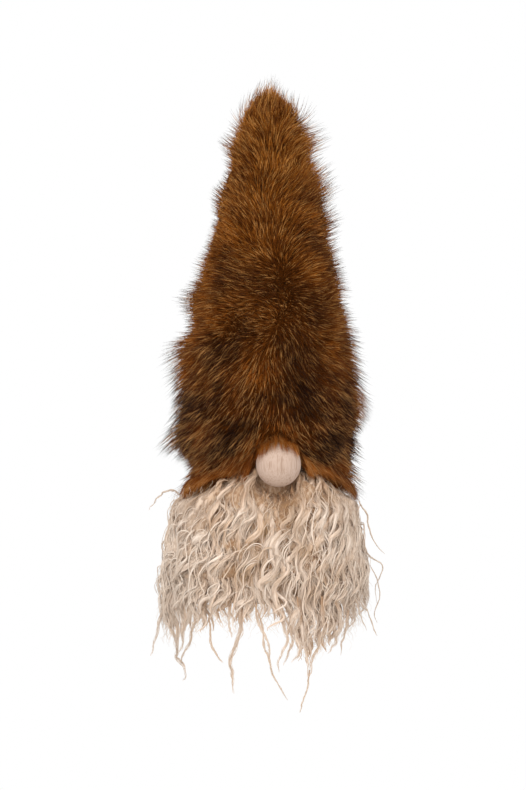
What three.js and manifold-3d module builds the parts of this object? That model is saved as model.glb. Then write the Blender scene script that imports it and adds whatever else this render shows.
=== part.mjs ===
// A hanging tomte figure: a tall stuffed fur hat, a wooden ball nose and a beard of curly wool
// locks. Millimetres, +Z up, the nose faces -Y, and the origin is the inner top of the hanging loop.
import * as THREE from 'three';
import { mergeVertices } from 'three/addons/utils/BufferGeometryUtils.js';
import Module from 'manifold-3d';

const wasm = await Module();
wasm.setup();

// Room between neighbours that touch
const clearance = 0.3;

// Hat: fur fabric round a stuffed cone, its hem above the underside of the body
const rimHeight = 92;
const rimRadius = 51;
const bulgeRise = 58;
const bulgeRadius = 59.5;
const coneHeight = 225;
const coneBelly = 4.5;
const tipRadius = 14;
const tipHeight = 21;
const backingThickness = 1.5;

// The hat's pile, which hangs over the hem and lies in staggered tufts
const pileDepth = 10.5;
const pileOverhang = 10;
const pileTipLength = 12;
const pileTipBlend = 12;
const pileEdgeRounding = 6;
const pileEdgeWidth = 1;
const tuftHeight = 31;
const tuftSwell = 4.6;
const tuftsRound = 10;
const creaseDepth = 4.5;
const creaseHalfHeight = 7;
const lowerCreaseRise = 212;
const upperCreaseRise = 262;
const browRise = 18;
const browHalfAngle = THREE.MathUtils.degToRad(80);

// Body: a felt bag round a filling, closed by a card disc and a felt base
const bodyInsideHat = 42;
const bodyBaseRadius = 52;
const bodyCrown = 9;
const feltThickness = 1.5;
const baseFeltThickness = 2;
const baseBoardThickness = 3;

// Nose: a ball on a dowel that goes through the beard and the felt into a washer
const noseRadius = 17.5;
const noseRise = 18;
const noseAngle = THREE.MathUtils.degToRad(6);
const pegRadius = 4;
const pegDepthInBall = 15;
const pegBeyondWasher = 6;
const washerRadius = 13;
const washerThickness = 3;

// Beard: a strip of hide that carries a mat of wool and its locks
const hideThickness = 1.5;
const hideHalfAngle = THREE.MathUtils.degToRad(98);
const hideBottom = 8;
const woolThickness = 9;
const woolFrontHalfAngle = THREE.MathUtils.degToRad(26);
const lockRows = 4;
const lockStagger = THREE.MathUtils.degToRad(5);
const lockLength = 82;
const lockReach = 30;
const lockRadius = 4.8;
const lockTipRadius = 1.6;
const lockWave = 3.6;
const lockWavelength = 32;

// Hanging loop: a waxed cord knotted inside the hat, behind the tip
const cordRadius = 1.5;
const knotRadius = 4.5;
const loopRise = 259;
const loopReach = 26;
const loopClimb = 47;
const knotDrop = 2;
const loopLegHalfGap = 2.6;
const loopHalfWidth = 5.5;

// Heights and radii that follow from these
const bulgeHeight = rimHeight + bulgeRise;
const coneTop = bulgeHeight + coneHeight;
const bodyTop = rimHeight + bodyInsideHat;
const noseHeight = rimHeight + noseRise;
const noseArch = noseRise + 0.7 * noseRadius - browRise;
const coverInset = backingThickness + 2 * clearance + hideThickness;
const coverBottom = baseFeltThickness + clearance;
const boardTop = coverBottom + baseBoardThickness;
const hideTop = noseHeight + noseRadius;
const archTop = rimHeight + browRise + noseArch;

// The facets that the nested shells share, so that their flats lie side by side
const facets = 30;
const furFacets = 4 * tuftsRound;
const ballFacets = [24, 14];
const pegFacets = 14;
const washerFacets = 20;
const cordSteps = 22;

const { lerp, clamp, smoothstep } = THREE.MathUtils;

const evenly = (from, to, parts) =>
  Array.from({ length: parts }, (_, part) => lerp(from, to, part / parts));
const levels = [
  ...evenly(0, rimHeight, 4),
  ...evenly(rimHeight, bulgeHeight, 6),
  ...evenly(bulgeHeight, coneTop, 6),
];

// An end, the values of a list that lie between two ends, and the other end
const between = (list, low, high) =>
  [low, ...list.filter((value) => value > low + 1e-3 && value < high - 1e-3), high];

// Outer face of the hat's backing at a height above the underside of the body
function hatRadius(height) {
  if (height < bulgeHeight) {
    return lerp(rimRadius, bulgeRadius, smoothstep(height, rimHeight, bulgeHeight));
  }
  const share = clamp((height - bulgeHeight) / coneHeight, 0, 1);
  return lerp(bulgeRadius, tipRadius, share) + coneBelly * Math.sin(Math.PI * share);
}

// Outer face of the body's felt, which keeps clear of the hat and the hide inside the hem
function coverRadius(height) {
  const waist = rimRadius - coverInset;
  if (height < rimHeight) return lerp(bodyBaseRadius, waist, smoothstep(height, 0, rimHeight));
  return hatRadius(height) - coverInset;
}

const hideInside = (height) => coverRadius(height) + clearance;
const hideOutside = (height) => hideInside(height) + hideThickness;
const woolInside = (height) => hideOutside(height) + clearance;
const noseDistance = hideOutside(noseHeight) + clearance + noseRadius;

// A smooth hump about the nose, from one at the nose to nothing at the half angle
function hump(angle, halfAngle) {
  const away = Math.min(1, Math.abs(angle - noseAngle) / halfAngle);
  return Math.cos((away * Math.PI) / 2) ** 2;
}

// The hem lifts along the brow and rises in an arch over the nose
function hemHeight(angle) {
  const noseHalfAngle = (1.25 * noseRadius) / rimRadius;
  return rimHeight + browRise * hump(angle, browHalfAngle) + noseArch * hump(angle, noseHalfAngle);
}

// Thickness of the pile, swelling to the lower end of each tuft and drawn in at the two creases
function pileThickness(angle, height) {
  const up = height - rimHeight;
  const place = up / tuftHeight + 0.3 * Math.sin(5 * angle);
  const row = Math.floor(place);
  const side = 0.55 + 0.45 * Math.cos(tuftsRound * angle + (row % 2 ? Math.PI : 0));
  const crease = [lowerCreaseRise, upperCreaseRise]
    .map((rise) => Math.exp(-(((up - rise) / creaseHalfHeight) ** 2)))
    .reduce((sum, value) => sum + value, 0);
  return pileDepth + tuftSwell * (1 - (place - row)) * side - creaseDepth * crease;
}

// A repeatable number from 0 to 1 for each whole number
function scatter(index) {
  const value = Math.sin(index * 12.9898 + 4.1) * 43758.5453;
  return value - Math.floor(value);
}

const onRadius = (angle, radius, height) =>
  new THREE.Vector3(radius * Math.sin(angle), -radius * Math.cos(angle), height);

function geometryFrom(points, indices) {
  const geometry = new THREE.BufferGeometry();
  geometry.setAttribute('position', new THREE.Float32BufferAttribute(points.flat(), 3));
  geometry.setIndex(indices);
  return geometry;
}

// A closed surface round the axis; profileAt gives radius and height from one pole to the other
function revolved(columns, profileAt) {
  const profiles = Array.from({ length: columns }, (_, column) =>
    profileAt(wrapped((2 * Math.PI * column) / columns)));
  const rings = profiles[0].length;
  const points = [[0, 0, profiles[0][0][1]]];
  for (let ring = 1; ring < rings - 1; ring += 1) {
    profiles.forEach((profile, column) => {
      const [radius, height] = profile[ring];
      points.push(onRadius((2 * Math.PI * column) / columns, radius, height).toArray());
    });
  }
  points.push([0, 0, profiles[0][rings - 1][1]]);
  const last = points.length - 1;
  const at = (ring, column) => 1 + (ring - 1) * columns + (column % columns);
  const indices = [];
  for (let column = 0; column < columns; column += 1) {
    indices.push(0, at(1, column), at(1, column + 1));
    for (let ring = 1; ring < rings - 2; ring += 1) {
      const [a, b] = [at(ring, column), at(ring + 1, column)];
      const [c, d] = [at(ring + 1, column + 1), at(ring, column + 1)];
      indices.push(a, b, c, a, c, d);
    }
    indices.push(at(rings - 2, column), last, at(rings - 2, column + 1));
  }
  return geometryFrom(points, indices);
}

const wrapped = (angle) => (angle > Math.PI ? angle - 2 * Math.PI : angle);

// Rows of radius and height on the shared levels, from the upper height to the lower
const downLevels = (radiusAt, upper, lower) =>
  between(levels, lower, upper).reverse().map((height) => [radiusAt(height), height]);

// A rounded tip from its top down to its foot, without the foot
function tipRows(radius, foot, rise, power, rows) {
  return Array.from({ length: rows }, (_, row) => {
    const share = 1 - (row / rows) ** 1.6;
    return [radius * (1 - share ** power) ** (1 / power), foot + rise * share];
  });
}

// How far in a facet's flat lies at an angle, as a share of the radius at its corners
function facetShare(angle) {
  const half = Math.PI / facets;
  const along = THREE.MathUtils.euclideanModulo(angle, 2 * half);
  return Math.cos(half) / Math.cos(along - half);
}

// A curved strip between two radii, two heights and two angles
function strip(inside, outside, bottom, top, from, to) {
  const step = (2 * Math.PI) / facets;
  const grid = Array.from({ length: facets }, (_, facet) => wrapped(facet * step));
  const angles = between(grid.sort((a, b) => a - b), from, to);
  const heights = between(levels, bottom, top);
  const points = [inside, outside].flatMap((radiusAt) => angles.flatMap((angle) =>
    heights.map((height) =>
      onRadius(angle, radiusAt(height) * facetShare(angle), height).toArray())));
  const [columns, rows] = [angles.length - 1, heights.length - 1];
  const at = (side, column, row) => (side * (columns + 1) + column) * (rows + 1) + row;
  const indices = [];
  const quad = (a, b, c, d) => indices.push(a, b, c, a, c, d);
  for (let column = 0; column < columns; column += 1) {
    const next = column + 1;
    for (let row = 0; row < rows; row += 1) {
      quad(at(1, column, row), at(1, next, row), at(1, next, row + 1), at(1, column, row + 1));
      quad(at(0, column, row), at(0, column, row + 1), at(0, next, row + 1), at(0, next, row));
    }
    quad(at(0, column, 0), at(0, next, 0), at(1, next, 0), at(1, column, 0));
    quad(at(1, column, rows), at(1, next, rows), at(0, next, rows), at(0, column, rows));
  }
  for (let row = 0; row < rows; row += 1) {
    quad(at(0, 0, row), at(1, 0, row), at(1, 0, row + 1), at(0, 0, row + 1));
    quad(at(1, columns, row), at(0, columns, row), at(0, columns, row + 1), at(1, columns, row + 1));
  }
  return geometryFrom(points, indices);
}

// A tapered tube of rings round a path, ending in a point
function taperedTube(path, radiusAt, sides) {
  const points = [];
  const tangents = path.map((_, i) => path[Math.min(i + 1, path.length - 1)].clone()
    .sub(path[Math.max(i - 1, 0)]).normalize());
  path.slice(0, -1).forEach((centre, i) => {
    const outward = new THREE.Vector3(centre.x, centre.y, 0).normalize();
    const across = tangents[i].clone().cross(outward).normalize();
    const out = across.clone().cross(tangents[i]);
    for (let side = 0; side < sides; side += 1) {
      const turn = (2 * Math.PI * side) / sides;
      const radius = radiusAt(i / (path.length - 1));
      points.push(centre.clone().addScaledVector(across, radius * Math.cos(turn))
        .addScaledVector(out, radius * Math.sin(turn)).toArray());
    }
  });
  const rings = path.length - 1;
  points.push(path[0].toArray(), path[path.length - 1].toArray());
  const [foot, tip] = [points.length - 2, points.length - 1];
  const indices = [];
  for (let side = 0; side < sides; side += 1) {
    const next = (side + 1) % sides;
    indices.push(foot, side, next);
    for (let ring = 0; ring < rings - 1; ring += 1) {
      const [a, b] = [ring * sides + side, ring * sides + next];
      indices.push(a, a + sides, b + sides, a, b + sides, b);
    }
    indices.push((rings - 1) * sides + side, tip, (rings - 1) * sides + next);
  }
  return geometryFrom(points, indices);
}

// A closed geometry as a solid that can be joined and cut
function solidOf(geometry) {
  const bare = geometry.clone();
  bare.deleteAttribute('normal');
  bare.deleteAttribute('uv');
  const merged = mergeVertices(bare, 1e-4);
  const solid = new wasm.Manifold(new wasm.Mesh({
    numProp: 3,
    vertProperties: new Float32Array(merged.attributes.position.array),
    triVerts: new Uint32Array(merged.index.array),
  }));
  return solid;
}

function geometryOf(solid) {
  const { vertProperties, triVerts } = solid.getMesh();
  const geometry = new THREE.BufferGeometry();
  geometry.setAttribute('position', new THREE.BufferAttribute(vertProperties.slice(), 3));
  geometry.setIndex(new THREE.BufferAttribute(triVerts.slice(), 1));
  return geometry;
}

// The nose's direction, and a cylinder or ring on that line between two distances from the axis
const noseLine = onRadius(noseAngle, 1, 0);

function onNoseLine(radius, from, to, sides) {
  const geometry = new THREE.CylinderGeometry(radius, radius, to - from, sides);
  geometry.applyQuaternion(new THREE.Quaternion()
    .setFromUnitVectors(new THREE.Vector3(0, 1, 0), noseLine));
  const middle = noseLine.clone().multiplyScalar((from + to) / 2);
  geometry.translate(middle.x, middle.y, noseHeight);
  return solidOf(geometry);
}

function noseBall(radius) {
  const geometry = new THREE.SphereGeometry(radius, ...ballFacets);
  const centre = noseLine.clone().multiplyScalar(noseDistance);
  geometry.rotateX(Math.PI / 2);
  geometry.translate(centre.x, centre.y, noseHeight);
  return solidOf(geometry);
}

const washerFace = Math.sqrt((coverRadius(noseHeight - washerRadius) - feltThickness) ** 2
  - washerRadius ** 2) - clearance;
const washerBack = washerFace - washerThickness;
const pegInner = washerBack - pegBeyondWasher;
const pegOuter = noseDistance - noseRadius + pegDepthInBall;
const pegRoom = onNoseLine(pegRadius + clearance, pegInner - clearance, pegOuter + clearance,
  pegFacets);
const noseRoom = noseBall(noseRadius + 1.4 * clearance);

// The loop's middle line: up one leg, round the top and down the other
const loopFootHeight = rimHeight + loopRise;
const legOutside = hatRadius(loopFootHeight);
const knotDistance = legOutside - backingThickness - clearance - knotRadius;
const loopFrom = knotDistance + knotRadius * 0.75;
const loopLeg = [
  [loopLegHalfGap, loopFrom, loopFootHeight - knotDrop],
  [loopLegHalfGap, legOutside, loopFootHeight + knotDrop / 2],
  [1.4 * loopLegHalfGap, legOutside + 0.38 * loopReach, loopFootHeight + 0.3 * loopClimb],
  [loopHalfWidth, legOutside + 0.77 * loopReach, loopFootHeight + 0.64 * loopClimb],
  [0.82 * loopHalfWidth, legOutside + 0.94 * loopReach, loopFootHeight + 0.89 * loopClimb],
].map((place) => new THREE.Vector3(...place));
const loopTop = new THREE.Vector3(0, legOutside + loopReach, loopFootHeight + loopClimb);
const otherLeg = loopLeg.map((point) => point.clone().setX(-point.x)).reverse();
const loopPath = new THREE.CatmullRomCurve3([...loopLeg, loopTop, ...otherLeg]);

function cordAlong(path, radius) {
  const section = new THREE.Shape();
  section.absarc(0, 0, radius, 0, 2 * Math.PI, false);
  return new THREE.ExtrudeGeometry(section,
    { curveSegments: 4, steps: cordSteps, extrudePath: path });
}

function knotBall(radius) {
  const geometry = new THREE.SphereGeometry(radius, 12, 8);
  geometry.scale(1.25, 1, 1);
  geometry.translate(0, knotDistance, loopFootHeight - knotDrop);
  return geometry;
}

const cordRoom = solidOf(cordAlong(loopPath, cordRadius + clearance));
const knotRoom = solidOf(knotBall(knotRadius + clearance));

// What the hat's backing encloses, set in by a gap, down to a floor
function insideHat(gap, floor, floorRows) {
  const radiusAt = (height) => hatRadius(height) - backingThickness - gap;
  const inset = backingThickness + gap;
  const tip = tipRows(tipRadius - inset, coneTop, tipHeight - inset, 2, 3);
  return solidOf(revolved(facets, () => [
    ...tip,
    ...downLevels(radiusAt, coneTop, floor),
    ...floorRows,
  ]));
}

// Fur fabric hat, open at the hem; grown is how far it stands off what it cuts
function furHat(grown) {
  const outside = revolved(furFacets, (angle) => {
    const hem = hemHeight(angle);
    const pileBottom = hem - pileOverhang;
    const topPile = pileThickness(0, coneTop);
    const radiusAt = (height) => {
      const nearTop = smoothstep(height, coneTop - pileTipBlend, coneTop);
      return hatRadius(height) + lerp(pileThickness(angle, height), topPile, nearTop) + grown;
    };
    const rows = 24;
    const pileEdge = pileBottom + pileEdgeRounding;
    const edgeRadius = radiusAt(pileBottom) - pileEdgeRounding / 2;
    return [
      ...tipRows(radiusAt(coneTop), coneTop, tipHeight + pileTipLength + grown, 1.35, 4),
      ...evenly(coneTop, pileEdge, rows).map((height) => [radiusAt(height), height]),
      [radiusAt(pileEdge), pileEdge],
      [edgeRadius, pileBottom - grown],
      [edgeRadius - pileEdgeWidth - 2 * grown, pileBottom - grown],
      [hatRadius(hem) + backingThickness - grown, hem - clearance - grown],
      [hatRadius(hem) - 2 * backingThickness, hem],
      [0, rimHeight],
    ];
  });
  const below = rimHeight - pileOverhang;
  return solidOf(outside).subtract(insideHat(grown, below, [[0, below]]));
}

function hatFilling() {
  const floor = bodyTop + clearance;
  const edge = hatRadius(floor) - backingThickness - clearance;
  return insideHat(clearance, floor, crownRows(edge, floor).reverse());
}

// Rows of a crowned top from its pole to its edge, without the edge
const crownRows = (radius, foot) => [0, 0.4, 0.72]
  .map((share) => [radius * share, foot + bodyCrown * (1 - share ** 2)]);

// Felt bag of the body, open below where the card disc closes it
function bodyCover() {
  const inside = (height) => coverRadius(height) - feltThickness;
  const innerFoot = bodyTop - feltThickness;
  return revolved(facets, () => [
    ...crownRows(coverRadius(bodyTop), bodyTop),
    ...downLevels(coverRadius, bodyTop, coverBottom),
    ...downLevels(inside, innerFoot, coverBottom).reverse(),
    ...crownRows(inside(innerFoot), innerFoot).reverse(),
  ]);
}

function bodyFilling() {
  const inside = (height) => coverRadius(height) - feltThickness - clearance;
  const top = bodyTop - feltThickness - clearance;
  const foot = boardTop + clearance;
  return revolved(facets, () => [
    ...crownRows(inside(top), top),
    ...downLevels(inside, top, foot),
    [0, foot],
  ]);
}

// One wavy lock, out from the mat and down
function lockPath(angle, height, length, reach, turn) {
  const start = woolInside(height) + woolThickness * 0.45;
  const drop = Math.sqrt(length ** 2 - reach ** 2);
  const steps = 12;
  return Array.from({ length: steps + 1 }, (_, step) => {
    const share = step / steps;
    const swing = lockWave * Math.min(1, 3 * share);
    const phase = (2 * Math.PI * share * length) / lockWavelength + turn;
    const radius = start + reach * share ** 0.55 + 0.6 * swing * Math.cos(phase);
    const aside = (swing * Math.sin(phase)) / radius;
    return onRadius(angle * (1 + 0.05 * share) + aside, radius, height - drop * share);
  });
}

// The wool is parted from the hide's upper edge down, so each part is a mat with its own locks
const sideAngle = (hideHalfAngle + woolFrontHalfAngle) / 2;
const woolParts = [
  { name: 'left_side', from: -hideHalfAngle, to: -sideAngle, locksAcross: 2 },
  { name: 'left_front', from: -sideAngle, to: -woolFrontHalfAngle, locksAcross: 2 },
  { name: 'front', from: -woolFrontHalfAngle, to: woolFrontHalfAngle, locksAcross: 3 },
  { name: 'right_front', from: woolFrontHalfAngle, to: sideAngle, locksAcross: 2 },
  { name: 'right_side', from: sideAngle, to: hideHalfAngle, locksAcross: 2 },
];

// The locks of one part of the wool, which keep clear of the part's two edges
function locksOfPart({ from, to, locksAcross }, part) {
  const lowest = hideBottom + 2 * lockRadius;
  const edgeRoom = (lockWave + lockRadius) / bulgeRadius;
  const locks = [];
  for (let row = 0; row < lockRows; row += 1) {
    const [first, last] = row % 2
      ? [from + edgeRoom + lockStagger, to - edgeRoom]
      : [from + edgeRoom, to - edgeRoom - lockStagger];
    for (let lane = 0; lane < locksAcross; lane += 1) {
      const index = 100 * part + 10 * row + lane;
      const angle = lerp(first, last, lane / (locksAcross - 1));
      const underNose = Math.abs(angle - noseAngle) * bulgeRadius < noseRadius + lockRadius;
      const highest = underNose ? noseHeight - noseRadius - 2 * lockRadius
        : hemHeight(angle) - pileOverhang - lockRadius;
      const height = lerp(lowest, highest, row / (lockRows - 1));
      const length = lockLength * (0.82 + 0.3 * scatter(index));
      const reach = lockReach * (0.75 + 0.35 * scatter(index + 200));
      const path = lockPath(angle, height, length, reach, 2 * Math.PI * scatter(index + 400));
      const thick = 0.85 + 0.3 * scatter(index + 600);
      locks.push(taperedTube(path, (share) => thick * lerp(lockRadius, lockTipRadius, share), 4));
    }
  }
  return locks;
}

function woolMat({ from, to }) {
  const halfGap = clearance / (2 * woolInside(hideTop));
  const outside = (height) => woolInside(height) + woolThickness;
  return strip(woolInside, outside, hideBottom, archTop, from + halfGap, to - halfGap);
}

const hatRoom = furHat(1.4 * clearance);

function beardWool(woolPart, index) {
  const wool = locksOfPart(woolPart, index).map(solidOf)
    .reduce((sum, lock) => sum.add(lock), solidOf(woolMat(woolPart)));
  return geometryOf(wool.subtract(hatRoom).subtract(noseRoom).subtract(pegRoom));
}

const beardHide = () => geometryOf(solidOf(
  strip(hideInside, hideOutside, hideBottom, hideTop, -hideHalfAngle, hideHalfAngle),
).subtract(pegRoom));

function disc(radius, bottom, thickness) {
  const geometry = new THREE.CylinderGeometry(radius, radius, thickness, facets);
  geometry.rotateX(Math.PI / 2);
  geometry.translate(0, 0, bottom + thickness / 2);
  return geometry;
}

const washerRoom = onNoseLine(washerRadius + clearance, washerBack - clearance,
  washerFace + 4 * clearance, washerFacets);

const figure = new THREE.Group();
figure.position.set(0, -loopTop.y, -(loopTop.z - cordRadius));

function add(name, geometry, color, roughness) {
  const material = new THREE.MeshStandardMaterial({ color, roughness, metalness: 0 });
  const mesh = new THREE.Mesh(geometry, material);
  mesh.name = name;
  figure.add(mesh);
}

const coverSolid = solidOf(bodyCover()).subtract(pegRoom);
const furSolid = furHat(0).subtract(noseRoom).subtract(cordRoom);
const hatFillingSolid = hatFilling().subtract(knotRoom).subtract(cordRoom);
const bodyFillingSolid = solidOf(bodyFilling()).subtract(pegRoom).subtract(washerRoom);
const peg = onNoseLine(pegRadius, pegInner, pegOuter, pegFacets);
const washer = onNoseLine(washerRadius, washerBack, washerFace, washerFacets).subtract(pegRoom);
const loop = solidOf(cordAlong(loopPath, cordRadius)).subtract(knotRoom);

add('hat_fur', geometryOf(furSolid), 0x5c3a1c, 0.9);
add('hat_filling', geometryOf(hatFillingSolid), 0xe6e0d4, 1);
add('body_cover', geometryOf(coverSolid), 0xa88f73, 0.95);
add('body_filling', geometryOf(bodyFillingSolid), 0xe6e0d4, 1);
add('base_board', disc(coverRadius(coverBottom) - feltThickness - clearance, coverBottom,
  baseBoardThickness), 0xa98f6c, 0.9);
add('base_felt', disc(bodyBaseRadius, 0, baseFeltThickness), 0x877059, 0.95);
add('beard_hide', beardHide(), 0xd8c3a5, 0.8);
woolParts.forEach((woolPart, index) =>
  add(`beard_wool_${woolPart.name}`, beardWool(woolPart, index), 0xcdb299, 0.95));
add('nose_ball', geometryOf(noseBall(noseRadius).subtract(pegRoom)), 0xd9beac, 0.6);
add('nose_peg', geometryOf(peg), 0xcaa77c, 0.7);
add('nose_washer', geometryOf(washer), 0xc9a878, 0.8);
add('hanging_loop', geometryOf(loop), 0x4a3424, 0.6);
add('loop_knot', knotBall(knotRadius), 0x4a3424, 0.6);

export default figure;
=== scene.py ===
"""A hanging tomte figure: a tall fur hat, a wooden ball nose and a beard of curly wool locks."""
from math import asin, cos, pi, radians, sin
from types import SimpleNamespace

import bmesh
import bpy
import numpy as np
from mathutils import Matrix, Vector, noise


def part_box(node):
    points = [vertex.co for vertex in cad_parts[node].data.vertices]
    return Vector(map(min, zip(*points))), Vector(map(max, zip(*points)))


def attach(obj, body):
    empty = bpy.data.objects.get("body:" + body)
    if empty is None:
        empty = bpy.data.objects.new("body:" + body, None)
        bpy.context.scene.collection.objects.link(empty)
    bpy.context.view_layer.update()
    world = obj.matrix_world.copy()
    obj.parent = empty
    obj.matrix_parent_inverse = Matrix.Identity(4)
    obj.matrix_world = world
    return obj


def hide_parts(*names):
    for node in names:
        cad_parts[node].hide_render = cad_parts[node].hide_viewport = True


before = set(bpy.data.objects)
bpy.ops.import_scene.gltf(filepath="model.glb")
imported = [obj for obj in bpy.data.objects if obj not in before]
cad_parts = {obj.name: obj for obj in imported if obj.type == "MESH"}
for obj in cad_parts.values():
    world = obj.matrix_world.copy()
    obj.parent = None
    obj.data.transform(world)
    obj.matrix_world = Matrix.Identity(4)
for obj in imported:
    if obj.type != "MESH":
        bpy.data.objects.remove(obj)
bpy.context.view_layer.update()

# The figure's upright middle line runs through the middle of its round felt base, and heights are
# counted in millimetres from the underside of that base, as a maker measures it on the bench.
MM = 0.001
felt_low, felt_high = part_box("base_felt")
middle = (felt_low.y + felt_high.y) / 2
underside = felt_low.z

# The camera looks level at the front of the figure from well back, as the photograph does. The
# picture is 526 by 790 pixels, and one pixel is 0.8 mm at the figure's middle line.
picture_height = 790 * 0.8 * MM
camera_distance = 2.4
view_centre = Vector((-4.8 * MM, middle, underside + 164 * MM))


def shown(name, data):
    """A new object in the scene."""
    made = bpy.data.objects.new(name, data)
    bpy.context.collection.objects.link(made)
    return made


camera = shown("camera", bpy.data.cameras.new("camera"))
camera.data.sensor_fit = "VERTICAL"
camera.data.sensor_height = 36
camera.data.lens = 36 * camera_distance / picture_height
camera.location = view_centre + Vector((0, -camera_distance, 0))
camera.rotation_euler = (radians(90), 0, 0)
bpy.context.scene.camera = camera
bpy.context.scene.view_settings.view_transform = "Standard"

# Soft studio light: a white room all round, and large lamps from the front. The pale floor is
# far below the hanging figure, so that it can also be seen from below.
floor_half, floor_level, lamp_size = 3.0, -2.4, 2.0


class Wire:
    """The output of a node. Sums and products of wires make the nodes that work them out."""

    def __init__(self, source):
        self.source, self.tree, self.kind = source, source.id_data, source.type

    def work(self, operation, other=None):
        """What a named operation makes of this wire, and of another wire or a plain value."""
        inputs = {0: self}
        if other is not None:
            inputs["Scale" if operation == "SCALE" else 1] = other
        kind = "ShaderNodeVectorMath" if self.kind == "VECTOR" else "ShaderNodeMath"
        return node(self.tree, kind, inputs, operation=operation)

    def __add__(self, other):
        return self.work("ADD", other)

    def __sub__(self, other):
        return self.work("SUBTRACT", other)

    def __mul__(self, other):
        if self.kind == "RGBA":
            return mixed(self.tree, 1.0, self, other, "MULTIPLY")
        return self.work("SCALE" if self.kind == "VECTOR" else "MULTIPLY", other)


def join(sockets, values):
    """Joins the sockets that are in use to wires, or gives them plain values."""
    for key, value in values.items():
        if isinstance(key, int):
            target = sockets[key]
        else:
            target = next(s for s in sockets if s.enabled and s.name == key)
        if isinstance(value, Wire):
            target.id_data.links.new(value.source, target)
        else:
            target.default_value = value


def node(tree, kind, inputs=None, output=None, **settings):
    """A new node, as the wire from its output of that name, or else from its first one in use."""
    made = tree.nodes.new(kind)
    for key, value in settings.items():
        setattr(made, key, value)
    join(made.inputs, inputs or {})
    return Wire(next(s for s in made.outputs if s.enabled and output in (None, s.name)))


def mixed(tree, share, first, second, blend="MIX"):
    return node(tree, "ShaderNodeMix", {0: share, 6: first, 7: second}, data_type="RGBA", blend_type=blend)


def new_material(name):
    """A material and its node tree."""
    material = bpy.data.materials.new(name)
    material.use_nodes = True
    return material, material.node_tree


def finish(material, color, roughness, sheen=0.0, specular=0.5, relief=None, depth=0.0, strength=0.6):
    """Gives a material its colour and gloss, and a relief of a real depth in metres."""
    tree = material.node_tree
    values = {"Base Color": color, "Roughness": roughness, "Sheen Weight": sheen,
              "Specular IOR Level": specular}
    if relief:
        bump = {"Height": relief, "Distance": depth, "Strength": strength}
        values["Normal"] = node(tree, "ShaderNodeBump", bump)
    join(tree.nodes["Principled BSDF"].inputs, values)
    return material


def new_piece(name, points, faces=(), edges=()):
    """A mesh object from points and their faces, or their edges."""
    mesh = bpy.data.meshes.new(name)
    mesh.from_pydata(np.reshape(points, (-1, 3)), edges, faces, shade_flat=False)
    return shown(name, mesh)


def soft_light(name, place, power):
    """A square studio lamp that faces the figure."""
    lamp = shown(name, bpy.data.lights.new(name, "AREA"))
    lamp.data.size, lamp.data.energy = lamp_size, power
    lamp.location = place
    lamp.rotation_euler = (view_centre - Vector(place)).to_track_quat("-Z", "Y").to_euler()


floor_corners = [(floor_half * x, floor_half * y, floor_level)
                 for x, y in ((-1, -1), (1, -1), (1, 1), (-1, 1))]
floor = new_piece("studio_floor", floor_corners, [(0, 1, 2, 3)])
floor.data.materials.append(finish(new_material("studio_floor")[0], (0.85, 0.85, 0.85, 1), 0.9))
soft_light("key_light", (-0.8, -2.0, 0.8), 34)
soft_light("fill_light", (1.3, -1.9, 0.0), 11)
world = bpy.data.worlds.new("studio")
world.use_nodes = True
join(world.node_tree.nodes["Background"].inputs, {"Color": (1, 1, 1, 1), "Strength": 1.0})
bpy.context.scene.world = world

# The hanging loop is waxed cord of three twisted strands, 3 mm thick. Both its ends go through
# the back of the hat below the tip, to a knot inside.
loop_route = [(0.0026, -0.0289, -0.0475), (0.0026, -0.026, -0.0445), (0.0036, -0.0161, -0.0314),
              (0.0055, -0.006, -0.0154), (0.0045, -0.0016, -0.0037), (0, 0, 0.0015),
              (-0.0045, -0.0016, -0.0037), (-0.0055, -0.006, -0.0154), (-0.0036, -0.0161, -0.0314),
              (-0.0026, -0.026, -0.0445), (-0.0026, -0.0289, -0.0475)]
cord_diameter, cord_lay, cord_strands = 0.003, 0.007, 3


def smooth_route(points, count):
    """A smooth curve through a few points, as many points along it."""
    points = np.asarray(points, float)
    reach = np.vstack([2 * points[0] - points[1], points, 2 * points[-1] - points[-2]])
    place = np.linspace(0, len(points) - 1, count)
    span = np.minimum(place.astype(int), len(points) - 2)
    t = (place - span)[:, None]
    a, b, c, d = (reach[span + step] for step in range(4))
    return b + 0.5 * t * (c - a + t * (2 * a - 5 * b + 4 * c - d + t * (3 * b - a - 3 * c + d)))


def unit(vectors):
    return vectors / np.maximum(np.linalg.norm(vectors, axis=-1, keepdims=True), 1e-12)


def store(piece, name, values):
    """Keeps one number or one vector for each point of a piece's mesh."""
    values = np.asarray(values, np.float32)
    kind, field = ("FLOAT_VECTOR", "vector") if values.ndim == 2 else ("FLOAT", "value")
    piece.data.attributes.new(name, kind, "POINT").data.foreach_set(field, values.ravel())


def fields(tree, kind, *labels):
    """The values that points keep under these labels."""
    return [node(tree, "GeometryNodeInputNamedAttribute", {"Name": label}, data_type=kind)
            for label in labels]


def keep(geometry, **values):
    """Keeps a value under each label on the points of a geometry."""
    for label, value in values.items():
        kind = "FLOAT_VECTOR" if value.kind == "VECTOR" else "FLOAT"
        geometry = node(geometry.tree, "GeometryNodeStoreNamedAttribute",
                        {"Geometry": geometry, "Name": label, "Value": value}, data_type=kind)
    return geometry


def new_tree(name, **inputs):
    """A geometry tree with named inputs, and the wires that they come in by."""
    tree = bpy.data.node_groups.new(name, "GeometryNodeTree")
    for label, kind in {"geometry": "Geometry", **inputs}.items():
        tree.interface.new_socket(label, in_out="INPUT", socket_type="NodeSocket" + kind)
    tree.interface.new_socket("Geometry", in_out="OUTPUT", socket_type="NodeSocketGeometry")
    sockets = tree.nodes.new("NodeGroupInput").outputs
    return tree, SimpleNamespace(**{s.name: Wire(s) for s in sockets if s.name})


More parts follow.
